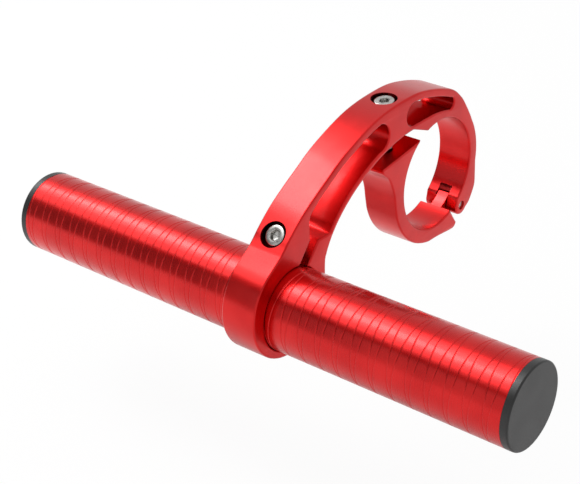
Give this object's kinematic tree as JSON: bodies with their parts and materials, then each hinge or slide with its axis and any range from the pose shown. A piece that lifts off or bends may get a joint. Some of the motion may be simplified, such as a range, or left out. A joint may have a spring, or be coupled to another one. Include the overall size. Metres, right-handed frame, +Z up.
{
  "type": "handlebar extender",
  "caption": "Split-clamp arm that carries a short ribbed accessory tube in front of and below a bicycle handlebar, with a hinged clamp jaw.",
  "frame": {"origin": "on the handlebar's axis, at the arm's mid width", "axes": "+X along the handlebar and the accessory tube, +Y from the accessory tube towards the handlebar, +Z up"},
  "size_m": [0.1562, 0.0984, 0.0539],
  "materials": {
    "red_anodised": "satin red anodised",
    "red_anodised_tube": "bright red anodised, fine crossed grooves",
    "black_plastic": "matte black moulded",
    "stainless_steel": "plain stainless"
  },
  "bodies": {
    "bracket": {"arm": "red_anodised", "hinge_pin": "stainless_steel"},
    "jaw": {"clamp_jaw": "red_anodised"},
    "tube": {"extension_tube": "red_anodised_tube", "end_cap_left": "black_plastic", "end_cap_right": "black_plastic"},
    "tube_screw": {"tube_clamp_screw": "stainless_steel"},
    "bar_screw": {"bar_clamp_screw": "stainless_steel"}
  },
  "joints": [
    {"name": "jaw_hinge", "type": "hinge", "parent": "bracket", "child": "jaw", "pos_m": [0, 0.01295, -0.01458], "axis": [1, 0, 0], "range_deg": [0, 100]},
    {"name": "tube_slide", "type": "slide", "parent": "bracket", "child": "tube", "axis": [1, 0, 0], "range_m": [-0.055, 0.06]},
    {"name": "tube_screw_travel", "type": "slide", "parent": "bracket", "child": "tube_screw", "axis": [0, -0.788, 0.6157], "range_m": [0, 0.0015]},
    {"name": "bar_screw_travel", "type": "slide", "parent": "bracket", "child": "bar_screw", "axis": [0, 0.1392, -0.9903], "range_m": [0, 0.002]}
  ]
}
